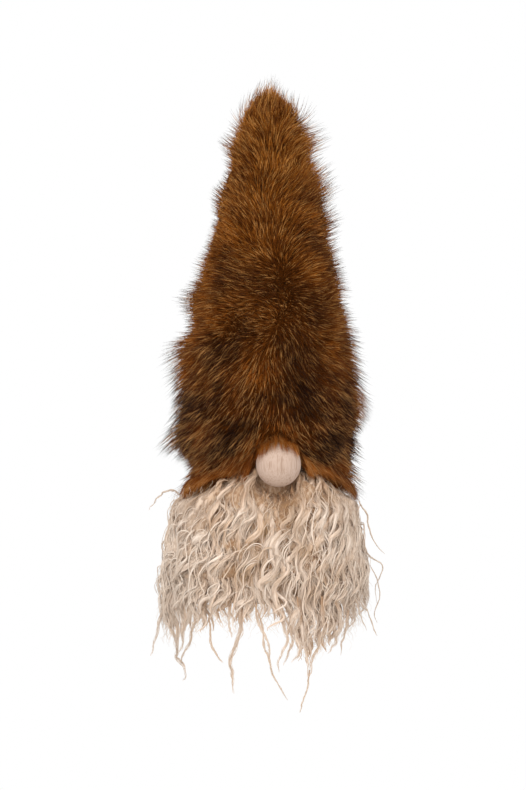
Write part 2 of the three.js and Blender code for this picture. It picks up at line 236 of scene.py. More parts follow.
def finish_tree(tree, geometry, material):
    real = node(tree, "GeometryNodeRealizeInstances", {"Geometry": geometry})
    painted = node(tree, "GeometryNodeSetMaterial", {"Geometry": real, "Material": material})
    join(tree.nodes.new("NodeGroupOutput").inputs, {0: painted})
    return tree


def run_tree(source, tree, name, **values):
    """Grows a tree's geometry on a source, and puts the result in its place as a plain mesh."""
    growth = source.modifiers.new("growth", "NODES")
    growth.node_group = tree
    for item in tree.interface.items_tree:
        if item.name in values:
            growth[item.identifier] = values[item.name]
    mesh = bpy.data.meshes.new_from_object(source.evaluated_get(bpy.context.evaluated_depsgraph_get()))
    mesh.name = name
    bpy.data.objects.remove(source)
    return shown(name, mesh)


def strand_tree():
    """Strands along edges, as thick as their points say, and flattened where they have an out way."""
    tree, given = new_tree("strands", sides="Int", flatness="Float", material="Material")
    lines = node(tree, "GeometryNodeMeshToCurve", {"Mesh": given.geometry})
    ring = node(tree, "GeometryNodeCurvePrimitiveCircle", {"Resolution": given.sides, "Radius": 1.0})
    thick, = fields(tree, "FLOAT", "thick")
    tubes = node(tree, "GeometryNodeCurveToMesh",
                 {"Curve": lines, "Profile Curve": ring, "Scale": thick, "Fill Caps": True})
    centre, side, out = fields(tree, "FLOAT_VECTOR", "centre", "side", "out")
    place = node(tree, "GeometryNodeInputPosition")
    away = place - centre
    tubes = keep(tubes, across=away.work("DOT_PRODUCT", side))
    flat = place - out * (away.work("DOT_PRODUCT", out) * given.flatness)
    tubes = node(tree, "GeometryNodeSetPosition", {"Geometry": tubes, "Position": flat})
    return finish_tree(tree, node(tree, "GeometryNodeSetShadeSmooth", {"Geometry": tubes}), given.material)


def strand_piece(name, lines, material, sides, flatness=0.0, **values):
    """Strands along lines of equally many points, with a value for each point under each label."""
    count, steps = lines.shape[:2]
    index = np.arange(count * steps).reshape(count, steps)
    edges = np.stack([index[:, :-1], index[:, 1:]], -1).reshape(-1, 2)
    source = new_piece(name + "_lines", lines, edges=edges)
    for label, value in values.items():
        kept_shape = np.shape(value)[2:]
        store(source, label, np.broadcast_to(value, (count, steps) + kept_shape).reshape(-1, *kept_shape))
    return run_tree(source, strands, name, sides=sides, flatness=flatness, material=material)


def fit(piece, nodes=(), material=None):
    """Gives a piece its material and slot, and fixes it on the figure in place of solids of the frame."""
    if material:
        piece.data.materials.append(material)
    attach(piece, "root")
    if nodes:
        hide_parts(*nodes)


def dress(name, material):
    """Gives a CAD node that stays as it is its own finish."""
    mesh = bpy.data.objects[name].data
    mesh.materials.clear()
    mesh.materials.append(material)


def tint(red, green, blue):
    """A colour as the eye sees it, 0 to 255, in the linear values that materials use."""
    linear = [((c / 255 + 0.055) / 1.055) ** 2.4 if c > 10.3 else c / 3294.6 for c in (red, green, blue)]
    return (*linear, 1.0)


def on_piece(tree, squeeze=1.0):
    """The place on the piece, for patterns that are squeezed along its height."""
    place = node(tree, "ShaderNodeTexCoord", output="Object")
    return node(tree, "ShaderNodeMapping", {"Vector": place, "Scale": (1, 1, squeeze)})


def grain(place, scale, detail, bent=0.0):
    inputs = {"Vector": place, "Scale": scale, "Detail": detail, "Distortion": bent}
    return node(place.tree, "ShaderNodeTexNoise", inputs, "Fac")


def ramp(value, *stops):
    """A colour for each value, between stops of position and colour."""
    color = node(value.tree, "ShaderNodeValToRGB", {"Fac": value}, "Color")
    band = color.source.node.color_ramp.elements
    while len(band) < len(stops):
        band.new(0.5)
    for element, (position, shade) in zip(band, stops):
        element.position, element.color = position, shade
    return color


def grained(name, dark, pale, scale, detail, depth, roughness, sheen=0.0, squeeze=1.0,
            ends=(0.3, 0.7), specular=0.5):
    """A material of one fine grain, which gives its two tones and its relief."""
    material, tree = new_material(name)
    pattern = grain(on_piece(tree, squeeze), scale, detail)
    color = ramp(pattern, (ends[0], dark), (ends[1], pale))
    return finish(material, color, roughness, sheen, specular, pattern, depth)


strands = strand_tree()
loop_line = smooth_route(loop_route, 121)
loop_along = np.append(0, np.cumsum(np.linalg.norm(np.diff(loop_line, axis=0), axis=1)))
loop_heading = unit(np.gradient(loop_line, axis=0))
loop_side = unit(np.cross(loop_heading, (0, 0.88, -0.48)))
turn = 2 * pi * (loop_along / cord_lay + np.arange(cord_strands)[:, None] / cord_strands)[..., None]
strand_radius = 0.27 * cord_diameter
off_line = np.cos(turn) * loop_side + np.sin(turn) * np.cross(loop_side, loop_heading)
waxed_cord = grained("waxed_cord", tint(56, 37, 24), tint(98, 68, 45), scale=1800.0, detail=4.0,
                     depth=0.0001, roughness=0.42)
loop = strand_piece("loop_cord", loop_line + (cord_diameter / 2 - strand_radius) * off_line, waxed_cord,
                    sides=8, thick=strand_radius)
fit(loop, ["hanging_loop"])
dress("loop_knot", waxed_cord)

# The body is a bag of wool felt, stuffed tight with fibre filling and sewn up the back. A card
# disc keeps its foot flat, and a felt disc is sewn over it with blanket stitches.
rim_height, rim_radius = 92, 51
bulge_height, bulge_radius = 150, 59.5
cone_top, cone_belly = 375, 4.5
tip_radius, tip_height = 14, 21
body_radius, body_foot, body_top, body_crown = 52, 2.3, 134, 9
felt_thickness, cover_inset = 1.5, 3.6
base_profile = np.array([(0, 0), (49.5, 0), (51.2, 0.3), (51.9, 1.0), (51.2, 1.7), (49.5, 2.0), (0, 2.0)])


def spot(angle, radius, height):
    """Points at angles round the middle line from the front, with sizes in millimetres."""
    angle, radius, height = np.broadcast_arrays(angle, radius, height)
    across = MM * radius * np.sin(angle)
    forward = middle - MM * radius * np.cos(angle)
    return np.stack([across, forward, underside + MM * height], axis=-1)


def step(value, low, high):
    """A smooth rise from 0 at the low value to 1 at the high one."""
    share = np.clip((value - low) / (high - low), 0, 1)
    return share * share * (3 - 2 * share)


def hat_radius(height):
    """Outer face of the hat's backing, from the hem to where the tip rounds off."""
    share = np.clip((height - bulge_height) / (cone_top - bulge_height), 0, 1)
    below = rim_radius + (bulge_radius - rim_radius) * step(height, rim_height, bulge_height)
    above = bulge_radius + (tip_radius - bulge_radius) * share + cone_belly * np.sin(pi * share)
    return np.where(height < bulge_height, below, above)


def cover_radius(height):
    """Outer face of the felt bag, which narrows up to the hem and fills the hat above it."""
    waist = rim_radius - cover_inset
    low = body_radius + (waist - body_radius) * step(height, 0, rim_height)
    return np.where(height < rim_height, low, hat_radius(height) - cover_inset)


def rolling(points, size, seed):
    """Slow noise, about -1 to 1, at points in metres, for a size in millimetres."""
    offset = Vector((seed * 13.7, seed * 5.1, seed * 9.3))
    values = [noise.noise(Vector(p) / (size * MM) + offset) for p in points.reshape(-1, 3).tolist()]
    return 1.8 * np.reshape(values, points.shape[:-1])


def ring(count):
    """Evenly spaced angles all round the middle line."""
    return np.linspace(-pi, pi, count + 1)[:-1]


def around_grid(angles, heights):
    return np.meshgrid(angles, heights, indexing="ij")


def grid_faces(columns, rows, closed, start=0):
    """Four sided faces over a grid of points that runs round, then up."""
    index = start + np.arange(columns * rows).reshape(columns, rows)
    near, far = (index, np.roll(index, -1, axis=0)) if closed else (index[:-1], index[1:])
    return np.stack([near[:, :-1], far[:, :-1], far[:, 1:], near[:, 1:]], axis=-1).reshape(-1, 4)


def closed_up(piece):
    """Merges the points that meet at seams and poles, and turns every face outwards."""
    tidy = bmesh.new()
    tidy.from_mesh(piece.data)
    bmesh.ops.remove_doubles(tidy, verts=tidy.verts, dist=1e-6)
    bmesh.ops.recalc_face_normals(tidy, faces=tidy.faces)
    tidy.to_mesh(piece.data)
    tidy.free()
    return piece


def two_skins(name, outer, inner, bag):
    """A closed wall between two grids of points: a bag that ends in a pole, or a strip with four edges."""
    columns, rows = outer.shape[:2]
    count = columns * rows
    index = np.arange(count).reshape(columns, rows)
    rims = [np.append(index[:, 0], index[0, 0])[::-1]]
    if not bag:
        rims = [index[::-1, 0], index[:, -1], index[0], index[-1, ::-1]]
    faces = [grid_faces(columns, rows, bag), grid_faces(columns, rows, bag, count)[:, ::-1]]
    faces += [np.stack([rim[:-1], rim[1:], rim[1:] + count, rim[:-1] + count], axis=1) for rim in rims]
    return closed_up(new_piece(name, np.stack([outer, inner]), np.concatenate(faces)))


def felt(name, dark, pale):
    """Wool felt: matted fibres, slightly mottled, with a fuzzy sheen."""
    return grained(name, dark, pale, scale=700.0, detail=8.0, depth=0.0004, roughness=0.95, sheen=0.35,
                   ends=(0.25, 0.75))


angle, share = around_grid(ring(96), np.linspace(0, 1, 49))
height = body_foot + (body_top - body_foot) * np.minimum(1, share / 0.8)
crown = np.clip((share - 0.8) / 0.2, 0, 1) * pi / 2
seam = np.exp(-((pi - np.abs(angle)) * 50 / 2.5) ** 2)
bare_back = step(np.abs(angle), radians(101), radians(116)) * (1 - step(height, rim_height - 6, rim_height))
swell = np.maximum(0, rolling(spot(angle, body_radius, 0.6 * height), 17, 51))
radius = (cover_radius(height) + bare_back * (1.4 * swell - 0.8 * seam)) * np.cos(crown)
rise = height + body_crown * np.sin(crown)
body_inner = spot(angle, radius - felt_thickness * np.cos(crown), rise - felt_thickness * np.sin(crown))
cover = two_skins("felt_body", spot(angle, radius, rise), body_inner, bag=True)
fit(cover, ["body_cover"], felt("body_felt", tint(150, 126, 100), tint(184, 160, 132)))
disc = closed_up(new_piece("felt_base", spot(ring(96)[:, None], *base_profile.T),
                           grid_faces(96, len(base_profile), True)))
fit(disc, ["base_felt"], felt("base_felt", tint(120, 98, 76), tint(152, 128, 102)))


def stitches(name, first, last, bow, thick):
    """Short stitches from one end to the other, bowed out from the middle line."""
    t = np.linspace(0, 1, 7)[None, :, None]
    lines = first[:, None] * (1 - t) + last[:, None] * t
    lines = lines + bow * MM * np.sin(pi * t) * unit((lines - [0, middle, 0]) * [1, 1, 0])
    thickness = thick * MM * (0.75 + 0.25 * np.sin(pi * t[..., 0]))
    fit(strand_piece(name, lines, thread, sides=5, thick=thickness))


thread = grained("sewing_thread", tint(112, 88, 62), tint(170, 142, 110), scale=2600.0, detail=2.0,
                 depth=0.0001, roughness=0.7, sheen=0.2, ends=(0.35, 0.65))
around, climb = ring(72), np.arange(8, 88, 4.0)
stitches("base_stitches", spot(around, 52.2, 0.6), spot(around + 0.035, 52.1, 5.2), bow=0.5, thick=0.32)
stitches("back_seam_stitches", spot(pi - 0.028, cover_radius(climb), climb),
         spot(pi + 0.028, cover_radius(climb + 1.6), climb + 1.6), bow=0.4, thick=0.3)
filling = grained("fibre_filling", tint(206, 200, 190), tint(244, 241, 235), scale=160.0, detail=8.0,
                  depth=0.003, roughness=1.0, sheen=0.3)
dress("body_filling", filling)
dress("hat_filling", filling)
dress("base_board", grained("grey_board", tint(150, 128, 98), tint(184, 164, 134), scale=500.0, detail=6.0,
                            depth=0.0002, roughness=0.9, squeeze=4))

# The nose is a turned ball of pale wood, sanded and left bare. It is drilled blind from behind
# and glued on a birch dowel, which goes through the felt into a plywood washer inside the body.
nose_radius, nose_height, nose_angle = 17.5, 110, radians(6)
bore_radius, bore_depth, ball_stand_off = 4.3, 15.0, 2.1
nose_centre = spot(nose_angle, cover_radius(nose_height) + ball_stand_off + nose_radius, nose_height)
white = tint(255, 255, 255)


def bare_wood(name, dark, pale, streak, lines):
    """Bare sanded wood: thin uneven growth lines that run upright, and short pores along them."""
    material, tree = new_material(name)
    upright = grain(on_piece(tree, 0.03), lines, 2.0, 0.3)
    pores = grain(on_piece(tree, 0.05), 1700.0, 3.0)
    color = ramp(upright, (0.3, streak), (0.4, dark), (0.5, pale), (0.72, dark))
    color = color * ramp(pores, (0.3, tint(242, 236, 230)), (0.5, white))
    return finish(material, color, 0.6, relief=pores, depth=0.0001, strength=0.4)


bore_end, bore_edge = bore_depth - nose_radius, asin(bore_radius / nose_radius)
ball_profile = [(0, bore_end), (bore_radius, bore_end)]
ball_profile += [(bore_radius, z) for z in np.linspace(bore_end, -nose_radius * cos(bore_edge), 6)[1:-1]]
ball_profile += [(nose_radius * sin(t), -nose_radius * cos(t)) for t in np.linspace(bore_edge, pi, 33)]
radial, axial = MM * np.transpose(ball_profile)
spin = np.linspace(0, 2 * pi, 65)[:-1, None]
ahead = np.array([sin(nose_angle), -cos(nose_angle), 0])
beside = np.array([cos(nose_angle), sin(nose_angle), 0])
ball_points = (nose_centre + axial[..., None] * ahead + (radial * np.cos(spin))[..., None] * beside
               + (radial * np.sin(spin))[..., None] * [0, 0, 1])
ball = closed_up(new_piece("nose_wood_ball", ball_points, grid_faces(64, len(ball_profile), True)))
fit(ball, ["nose_ball"],
    bare_wood("nose_wood", tint(168, 142, 123), tint(184, 159, 143), tint(155, 127, 109), lines=640.0))
dress("nose_peg",
      bare_wood("peg_wood", tint(206, 176, 136), tint(222, 196, 158), tint(180, 146, 104), lines=700.0))
dress("nose_washer",
      bare_wood("washer_wood", tint(204, 172, 130), tint(220, 192, 152), tint(170, 134, 92), lines=500.0))

# The beard is a strip of sheepskin, sewn round the front of the body. Its hide is thin leather,
# and its wool is a matted underwool with long wavy locks, each a bundle of many fine fibres.
hide_half_angle = radians(98)
hide_bottom, hide_top, hide_thickness = 8, 127.5, 1.5
brow_rise, brow_half_angle = 18, radians(80)
nose_arch, arch_half_angle = 12.25, 1.25 * nose_radius / rim_radius


def hump(angle, half_angle):
    """A smooth rise to 1 over the nose, and back to 0 at the half angle to both sides of it."""
    return np.cos(np.minimum(1, np.abs(angle - nose_angle) / half_angle) * pi / 2) ** 2


def hem_line(angle):
    """Height of the hat's hem, which lifts along the brow and arches over the nose."""
    return rim_height + brow_rise * hump(angle, brow_half_angle) + nose_arch * hump(angle, arch_half_angle)


angle, height = around_grid(np.linspace(-hide_half_angle, hide_half_angle, 61),
                            np.linspace(hide_bottom, hide_top, 31))
hide_face = cover_radius(height) + 0.3
hide = two_skins("sheepskin_hide", spot(angle, hide_face + hide_thickness, height),
                 spot(angle, hide_face, height), bag=False)
fit(hide, ["beard_hide"],
    grained("beard_hide", tint(205, 186, 158), tint(230, 214, 190), scale=420.0, detail=7.0,
            depth=0.0003, roughness=0.85, sheen=0.2))


def kept(tree, label):
    """A value that the mesh keeps for each of its points."""
    return node(tree, "ShaderNodeAttribute", None, "Fac", attribute_name=label, attribute_type="GEOMETRY")


def part(vector, name):
    """One of a vector's three numbers."""
    return node(vector.tree, "ShaderNodeSeparateXYZ", {0: vector}, name)


def rising(value, low, high, top=1.0):
    """A steady rise from 0 at the low value to the top at the high one."""
    inputs = {"Value": value, "From Min": low, "From Max": high, "To Max": top}
    return node(value.tree, "ShaderNodeMapRange", inputs)


def paler_sides(tree, color):
    """The wool is mixed towards a paler colour at the two sides of the beard."""
    share = rising(part(on_piece(tree), "X").work("ABSOLUTE"), 40 * MM, 80 * MM, 0.5)
    return mixed(tree, share, color, tint(216, 202, 188))


def wool_finish(name, dark, pale, streaked=False):
    """Cream wool: own tone per fibre, roots browner in colour and by painted shade, and thick locks
    streaked.
    """
    material, tree = new_material(name)
    tone, streaks = kept(tree, "tone"), None
    if streaked:
        lie = {0: kept(tree, "across") * (1 / MM), 1: kept(tree, "reach"), 2: kept(tree, "lock")}
        streaks = grain(node(tree, "ShaderNodeCombineXYZ", lie), 1.5, 5.0)
        tone = tone + (streaks - 0.5)
    color = ramp(tone, (0.0, dark), (1.0, pale))
    # The roots are browner: partly the wool's own colour, partly painted shade at the foot of the locks.
    color = color * ramp(kept(tree, "along"), (0.0, tint(212, 184, 152)), (0.25, tint(255, 253, 250)))
    return finish(material, paler_sides(tree, color), 0.8, 0.1, 0.12, streaks, 0.0004, 0.4)


def underwool_finish():
    """Matted brown underwool at the foot of the locks."""
    material, tree = new_material("underwool")
    fuzz = grain(on_piece(tree, 0.6), 420.0, 8.0)
    color = ramp(fuzz, (0.32, tint(132, 98, 69)), (0.5, tint(170, 137, 107)), (0.68, tint(197, 171, 146)))
    # Browner in the brown places: the underwool's own colour with painted shade.
    color = mixed(tree, kept(tree, "brown"), color, tint(138, 104, 72))
    return finish(material, paler_sides(tree, color), 1.0, 0.1, relief=fuzz, depth=0.003)


def wool_face(height):
    """Just off the outer face of the hide, where the wool starts."""
    return cover_radius(height) + 2.1


# Brown fuzzy places between the locks, the underwool's own brown with painted shade in the hollows:
# how far beside the middle and how high they are, their size, all in millimetres, and how brown they are.
brown_and_shaded_places = ((14, 80, 9, 0.55), (17, 63, 8, 0.35), (29, 41, 9, 0.5), (1, 59, 7, 0.35), (-21, 46, 9, 0.4),
                (-24, 25, 11, 0.5), (-45, 63, 7, 0.3), (-60, 22, 8, 0.25), (11, 22, 8, 0.35),
                (33, 10, 10, 0.45), (50, 22, 9, 0.3), (45, 84, 8, 0.3), (-13, 88, 8, 0.3))

# How far the outer locks stand off the middle line at heights above the base, and how low the
# beard reaches at angles round it. The locks end at most this low, but for the few long ones.
bulk_heights = (-70, -45, -20, 5, 20, 40, 60, 78, 92, 112)
bulk_radii = (68, 76, 82, 84, 84, 81, 78, 76, 72, 64)
edge_angles = np.radians((-98, -88, -76, -66, -56, -42, -30, -18, -8, 3, 12, 22, 31, 44, 58, 75, 98))
edge_heights = (0, -32, -30, -12, -26, -18, -8, -14, -12, -8, -20, -46, -40, -32, -18, -6, 4)
gather_angles = np.radians((-88, -72, -56, -44, -27, -15, 2, 13, 24, 34, 48, 61, 76, 90))
wool_nodes = [f"beard_wool_{side}"
              for side in ("left_side", "left_front", "front", "right_front", "right_side")]


def bulk(height, angle):
    """How far the outer locks stand off, a little less on the right than on the left."""
    by_side = np.interp(np.sin(angle), (-1, 0, 1), (1.035, 1.0, 0.935))
    return np.interp(height, bulk_heights, bulk_radii) * by_side


def near_places(points, places):
    """How much of a list of round places, each with its strength, points are in."""
    x, z, size, strength = np.transpose(places)
    beside, height = points[..., 0, None] / MM - x, (points[..., 2, None] - underside) / MM - z
    return np.sum(strength * np.exp(-(beside ** 2 + height ** 2) / size ** 2), axis=-1)


def wool_top(angle, room):
    """The highest that wool starts: under the hem, and below the wooden ball."""
    beside = 66 * (angle - nose_angle)
    below_ball = nose_height - np.sqrt(np.maximum(0, (nose_radius + 1.5) ** 2 - beside ** 2))
    return np.minimum(np.where(np.abs(beside) < nose_radius + 1.5, below_ball, 999), hem_line(angle)) - room


angle, share = around_grid(np.linspace(-hide_half_angle, hide_half_angle, 161), np.linspace(0, 1, 81))
height = hide_bottom + share * (hem_line(angle) - 1 - hide_bottom)
mat_inner = spot(angle, wool_face(height), height)
puff = rolling(mat_inner, 13, 21) + 0.5 * rolling(mat_inner, 6, 22) + 0.25 * rolling(mat_inner, 2.5, 23)
edge = step(share, 0, 0.16) * (1 - step(share, 0.97, 1)) * step(hide_half_angle - np.abs(angle), 0, 0.3)
under_top = 1 - step(height, wool_top(angle, 14), wool_top(angle, 3))
filled = 0.82 + 0.1 * np.sin(angle) ** 2 * (1 - step(height, 40, 80))
full_depth = filled * (bulk(height, angle) - wool_face(height)) + 2.4 * puff
depth = 0.6 + edge * (3.5 * (1 - under_top) + under_top * full_depth)
mat_outer = spot(angle, wool_face(height) + depth, height)
to_nose = np.linalg.norm(mat_outer - nose_centre, axis=-1, keepdims=True)
push = np.where(to_nose < (nose_radius + 0.4) * MM, np.clip(depth[..., None], 0, 0.3) / depth[..., None], 1)
mat = two_skins("wool_mat", mat_inner + (mat_outer - mat_inner) * push, mat_inner, bag=False)
mat_points = np.array([corner.co for corner in mat.data.vertices])
# The mat's share of the brown places, in its own colour and painted shade.
store(mat, "brown", np.clip(1.9 * near_places(mat_points, brown_and_shaded_places), 0, 1))
fit(mat, wool_nodes, underwool_finish())


def wandering(rng, count, steps, knots=6):
    """Slow random changes along each of several lines, from 0 to 1."""
    values = rng.random((count, knots))
    place = np.linspace(0, knots - 1.001, steps)
    low = place.astype(int)
    share = (place - low) ** 2 * (3 - 2 * (place - low))
    return values[:, low] * (1 - share) + values[:, low + 1] * share


def lock_lines(rng, count, points, depths, swings, shortest, curled=0.0, apart=1.3, start="all"):
    """Middle lines of locks, and how far their waves swing from them.

    They start all over the mat, or at its top or edge. Locks that lie together wave together,
    but for the share by which they are apart.
    """
    lanes = np.arange(count)
    start_angle = hide_half_angle * (2 * ((lanes * 0.618034 + rng.random()) % 1) - 1) * 0.99
    if start == "top":
        start_angle = nose_angle + (start_angle - nose_angle) * np.where(lanes % 2, 0.3, 1)
    top = wool_top(start_angle, 3)
    start_height = hide_bottom + 3 + np.sqrt((lanes + rng.random(count)) / count) * (top - hide_bottom - 3)
    fan = 0.13 * step(start_angle, -0.1, 0.4) - 0.03
    lowest = np.interp(start_angle + fan, edge_angles, edge_heights)
    if start == "top":
        start_height = top - rng.uniform(0, 6, count)
    tip_height = lowest + 66 * rng.random(count) ** 1.7
    tip_height = np.minimum(tip_height, start_height - rng.uniform(shortest, 1.8 * shortest, count))
    tip_height = np.maximum(tip_height, lowest - 8)
    if start == "edge":
        start_height, tip_height = rng.uniform(26, 52, count), lowest + rng.uniform(-4, 5, count)
    depth = rng.uniform(*depths, count)[:, None]
    gather = gather_angles[np.argmin(np.abs((start_angle + fan)[:, None] - gather_angles), axis=1)]
    gathered = 0.75 * (gather - start_angle - fan) * step(-tip_height, -30, 15)
    drift = rng.normal(0, 0.05, count) + fan + gathered
    s = np.linspace(0, 1, points)[None]
    fall = (start_height - tip_height)[:, None]
    beside = (np.abs(start_angle - nose_angle) - 0.6) / 0.25
    crest = 7 * np.exp(-beside ** 2) * step(start_height, top - 16, top)
    near = np.minimum(1, fall * s / 18)
    height = start_height[:, None] - fall * s ** 1.08 + crest[:, None] * 4 * near * (1 - near)
    foot = wool_face(start_height)[:, None] + 5
    angle = start_angle[:, None] + drift[:, None] * s ** 1.4
    radius = foot + (bulk(height, angle) - foot) * depth * (1 - np.exp(-fall * s / 6))
    swing = rng.uniform(*swings, (count, 1)) * np.minimum(1, fall * s / 10)
    swing = swing * (0.45 + wandering(rng, count, points))
    wave_length = 29 + 4 * np.sin(5 * start_angle + 2)[:, None] + rng.uniform(-4, 4, (count, 1))
    turn = 3 * np.sin(2.3 * start_angle)[:, None] + 2 * pi * height / wave_length
    turn = turn + apart * rng.uniform(-1, 1, (count, 1)) + 2.4 * wandering(rng, count, points)
    rings = curled * swing * rng.random((count, 1)) * np.minimum(1, fall * (1 - s) / 12)
    lines = spot(angle, radius, height)
    waved = spot(angle + swing * np.sin(turn) / radius, radius + 0.45 * swing * np.cos(turn),
                 height + rings * np.cos(turn))
    return lines, waved - lines


def turned_out(whole):
    """For lines round the middle line, the ways to the side and outwards at each point."""
    heading = unit(np.gradient(whole, axis=1))
    out = unit((whole - [0, middle, 0]) * [1, 1, 0] + [0, -1e-6, 0])
    out = unit(out - np.sum(out * heading, axis=-1, keepdims=True) * heading)
    return np.cross(heading, out), out


def bundle(rng, lines, waves, half_width, fibres, points, radius, tone, curl=0.5, hollow=0.0):
    """Fibres that run along each line, spread over the lock's width and drawn in at its tip."""
    count, steps = lines.shape[:2]
    each = (count, fibres, 1)
    side, out = turned_out(lines + waves)
    first = rng.uniform(0, 0.1, each)
    last = 1 - 0.35 * rng.random(each) ** 2
    s = first + (last - first) * np.linspace(0, 1, points)
    rows = np.arange(count)[:, None, None]

    def pick(values, shift=0.0):
        place = np.clip(s + shift, 0, 1) * (steps - 1)
        low = np.minimum(place.astype(int), steps - 2)
        share = (place - low)[..., None]
        return values[rows, low] * (1 - share) + values[rows, low + 1] * share

    spread = np.sqrt(hollow + (1.3 - hollow) * rng.random(each))
    phase = rng.uniform(0, 2 * pi, each)
    twist = phase + rng.normal(0, 3.0, (count, 1, 1)) * s
    width = half_width[:, None, None] * (0.5 + 0.5 * np.minimum(1, 5 * s)) * (1 - 0.75 * s ** 2.5)
    ripple = curl * np.sin(2 * pi * s * rng.uniform(4, 10, each) + phase) * np.minimum(1, 4 * s)
    across = (width * spread * np.cos(twist) + ripple)[..., None] * MM
    away = (width * spread * np.abs(np.sin(twist)) * 0.6 + 0.6 * ripple)[..., None] * MM
    own_wave = rng.uniform(0.75, 1.2, (*each, 1)) * pick(waves, rng.normal(0, 0.018, each))
    paths = pick(lines) + own_wave + across * pick(side) + away * pick(out)
    thick = radius * MM * rng.uniform(0.7, 1.3, each) * (1 - 0.72 * s ** 2)
    tones = np.clip(tone[:, None, None] + rng.normal(0, 0.15, each) + 0 * s, 0, 1)
    return [values.reshape(count * fibres, points, *values.shape[3:]) for values in (paths, thick, tones, s)]


def wool_piece(name, material, *parts):
    """One piece of fine round fibres from several groups of them."""
    paths, thick, tones, along = (np.concatenate(group) for group in zip(*parts))
    # Fibres are darker in the brown places, partly painted shade.
    tones = tones - 0.7 * near_places(paths, brown_and_shaded_places)
    piece = strand_piece(name, paths, material, sides=3, thick=thick, tone=tones, along=along)
    fit(piece, wool_nodes)


def lock_bodies(name, *groups):
    """The dense soft middle of each lock, a flat uneven strand.

    The higher its bluntness, the wider it ends.
    """
    whole, half_width, tone, bluntness = (np.concatenate(group) for group in zip(*groups))
    count, steps = whole.shape[:2]
    side, out = turned_out(whole)
    s = np.linspace(0, 1, steps)[None]
    uneven = 0.7 + 0.6 * wandering(rng, count, steps, 9)
    thick = MM * half_width[:, None] * (0.35 + 0.65 * np.minimum(1, 4 * s))
    thick = thick * (1 - 0.93 * s ** bluntness[:, None]) * uneven
    pace = np.linalg.norm(np.diff(whole, axis=1, prepend=whole[:, :1]), axis=-1)
    reach = np.cumsum(pace, axis=1) * 0.11 / MM
    # In the brown places the bodies are thinner, and darker by painted shade.
    bare = near_places(whole, brown_and_shaded_places)
    piece = strand_piece(name, whole, lock_wool, sides=8, flatness=0.62,
                         thick=thick * (1 - 0.75 * np.minimum(1, 1.5 * bare)),
                         tone=tone[:, None] + 0.16 - 0.8 * bare, along=s, centre=whole, side=side, out=out,
                         reach=reach, lock=9.0 * np.arange(count)[:, None])
    fit(piece, wool_nodes)


wool = wool_finish("beard_wool", tint(188, 150, 108), tint(232, 217, 203))
lock_wool = wool_finish("beard_locks", tint(184, 144, 102), tint(226, 210, 196), streaked=True)
rng = np.random.default_rng(11)
lock_count, edge_count = 112, 44
inner_lines, inner_waves = lock_lines(rng, lock_count, points=36, depths=(0.45, 0.8), swings=(2.0, 4.0),
                                      shortest=30)
outer_lines, outer_waves = lock_lines(rng, lock_count, points=36, depths=(0.8, 1.0), swings=(3.0, 6.4),
                                      shortest=40)
# Painted light by depth: deeper inner locks get darker tones as painted shade, outer ones paler tones as
# painted highlight.
inner_tone, outer_tone = rng.uniform(0.1, 0.55, lock_count), rng.uniform(0.4, 0.85, lock_count)
inner_width, outer_width = rng.uniform(2.6, 4.8, lock_count), rng.uniform(1.2, 3.7, lock_count)
edge_lines, edge_waves = lock_lines(rng, edge_count, points=36, depths=(0.45, 0.85), swings=(1.6, 3.4),
                                    shortest=30, start="edge")
top_lines, top_waves = lock_lines(rng, edge_count, points=36, depths=(0.55, 0.95), swings=(1.8, 4.0),
                                  shortest=30, start="top")
top_width, top_tone = rng.uniform(1.4, 3.2, edge_count), rng.uniform(0.3, 0.75, edge_count)
edge_width, edge_tone = rng.uniform(1.8, 3.6, edge_count), rng.uniform(0.2, 0.7, edge_count)
pointed, blunt = np.full(lock_count, 1.7), np.full(edge_count, 5.0)
lock_bodies("wool_lock_bodies", (inner_lines + inner_waves, inner_width, inner_tone, pointed),
            (outer_lines + outer_waves, outer_width, outer_tone, pointed),
            (top_lines + top_waves, top_width, top_tone, pointed[:edge_count]),
            (edge_lines + edge_waves, edge_width, edge_tone, blunt))
wool_piece("wool_locks_inner", wool,
           bundle(rng, inner_lines, inner_waves, inner_width, fibres=5, points=24, radius=0.2,
                  tone=inner_tone, curl=0.8, hollow=0.5),
           bundle(rng, top_lines, top_waves, top_width, fibres=8, points=24, radius=0.2,
                  tone=top_tone + 0.1, curl=0.8, hollow=0.5))
wool_piece("wool_locks_outer", wool,
           bundle(rng, outer_lines, outer_waves, outer_width, fibres=9, points=28, radius=0.2,
                  tone=outer_tone + 0.1, curl=0.7, hollow=0.6))


def fuzz_lines(count, points):
    """Short curled fibres that stand in the room between the locks."""
    each = (count, 1)
    angle = rng.uniform(-hide_half_angle, hide_half_angle, each)
    low = np.interp(angle, edge_angles, edge_heights) * 0.6
    height = low + rng.random(each) * (wool_top(angle, 2) - low)
    near, full = wool_face(height) + 4, bulk(height, angle)
    radius = np.where(height < hide_bottom, full - 12, near)
    radius = radius + (full - radius) * rng.random(each) ** 0.8
    s = np.linspace(0, 1, points)[None]
    length = rng.uniform(9, 24, each)
    loop = rng.uniform(0.6, 2.6, each) * np.minimum(1, 4 * s)
    turn = rng.uniform(0, 2 * pi, each) + 2 * pi * length * s / rng.uniform(7, 16, each)
    lean, drop = rng.normal(0, 0.35, (2, *each))
    away = radius + length * s * (0.12 + 0.2 * drop)
    lines = spot(angle + (length * s * lean + loop * np.cos(turn)) / away, away + 0.7 * loop * np.sin(turn),
                 height - 0.85 * length * s)
    thick = MM * rng.uniform(0.09, 0.16, each) * (1 - 0.6 * s)
    # Painted shade by depth: fuzz near the hide is darker, fuzz further out paler.
    tone = 0.6 * np.clip((radius - near) / (full - near), 0, 1) + rng.normal(0, 0.12, each)
    return lines, thick, np.clip(tone, 0, 1) + 0 * s, 0.5 + 0.5 * s + 0 * thick


wool_piece("wool_fuzz", wool, fuzz_lines(2500, 10))

